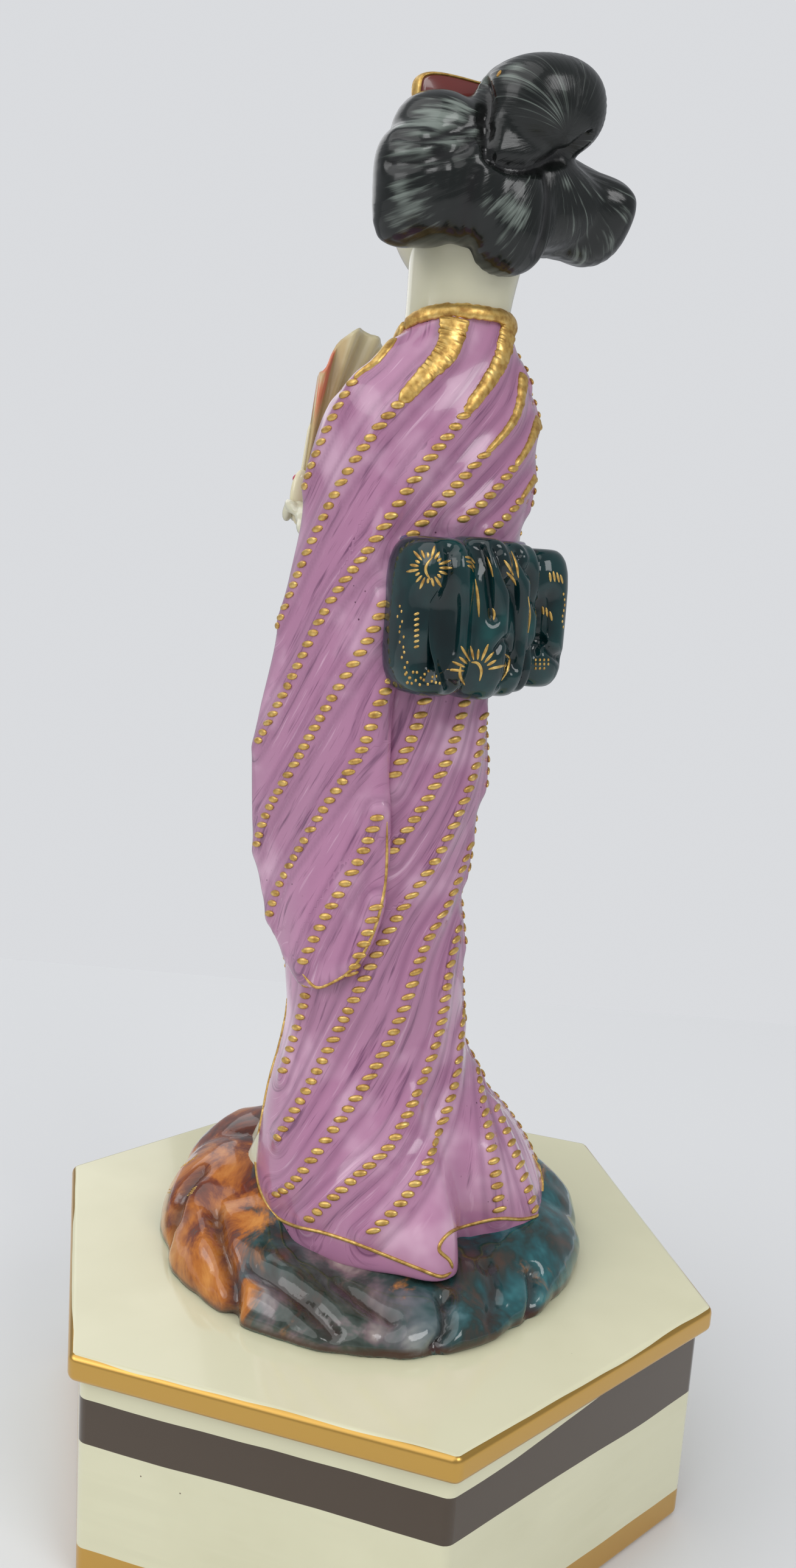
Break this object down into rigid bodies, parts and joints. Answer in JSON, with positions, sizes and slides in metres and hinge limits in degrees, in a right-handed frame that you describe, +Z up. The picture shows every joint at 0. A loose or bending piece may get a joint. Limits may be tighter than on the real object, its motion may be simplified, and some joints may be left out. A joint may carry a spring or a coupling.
{
  "type": "geisha figurine",
  "caption": "Glazed porcelain figurine of a standing woman in a striped robe with a wide sash and open fan, on a rocky mound and a six-sided plinth.",
  "frame": {"origin": "middle of the plinth's foot, at the bottom", "axes": "+Z up; two corners of the six-sided plinth lie on the X axis, and the figure faces -Y, turned 10 degrees towards -X"},
  "size_m": [0.1234, 0.1074, 0.2394],
  "materials": {
    "robe_glaze": "glossy lilac glaze with brushed darker strokes, white porcelain skin, black hair, dark green sash and gold lines",
    "ivory_glaze": "glossy ivory glaze with gold edges and a brown band"
  },
  "bodies": {
    "root": {"figure": "robe_glaze", "plinth": "ivory_glaze"}
  },
  "joints": []
}
